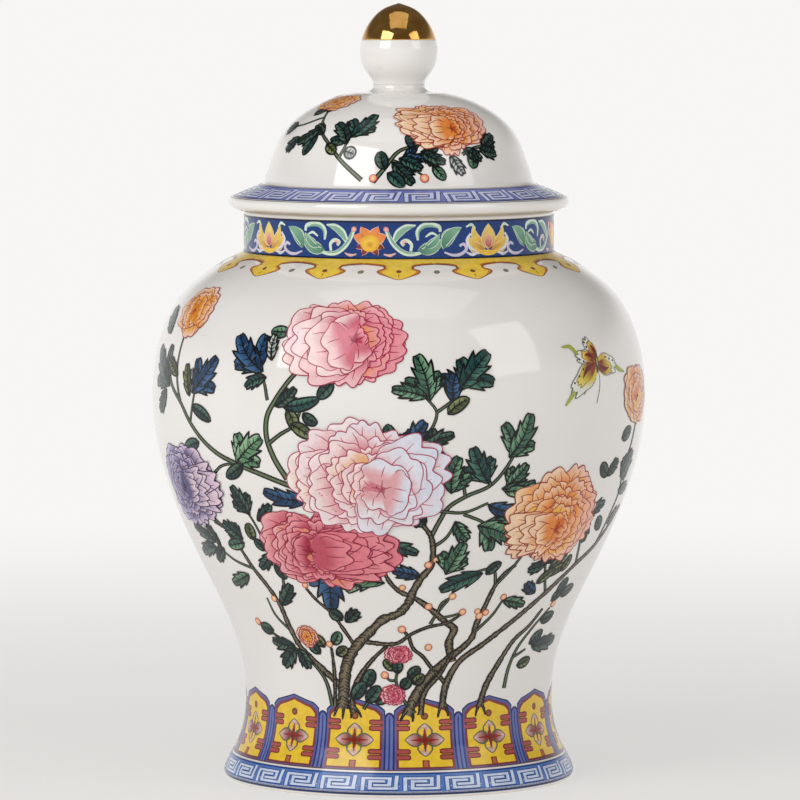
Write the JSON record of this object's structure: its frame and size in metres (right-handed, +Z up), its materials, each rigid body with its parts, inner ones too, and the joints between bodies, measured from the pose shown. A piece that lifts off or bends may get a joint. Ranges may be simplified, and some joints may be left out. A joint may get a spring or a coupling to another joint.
{
  "type": "ginger jar",
  "caption": "Lidded porcelain jar with a swelling body, waisted foot and straight neck; a domed lid with a locating ring lifts off by its hollow gilded knob.",
  "frame": {"origin": "on the axis of the jar, in the plane its foot stands on", "axes": "+Z up along the axis of the jar, towards the knob; -Y faces the painted front"},
  "size_m": [0.268, 0.268, 0.42],
  "materials": {
    "porcelain": "clear glossy glaze over white porcelain, painted with enamels",
    "gilding": "bright fired gold, mirror smooth"
  },
  "bodies": {
    "jar": {"jar_body": "porcelain"},
    "lid": {"lid": "porcelain", "lid_knob": "porcelain", "knob_gilding": "gilding"}
  },
  "joints": [
    {"name": "lid_lift", "type": "slide", "parent": "jar", "child": "lid", "axis": [0, 0, 1], "range_m": [0, 0.2]}
  ]
}
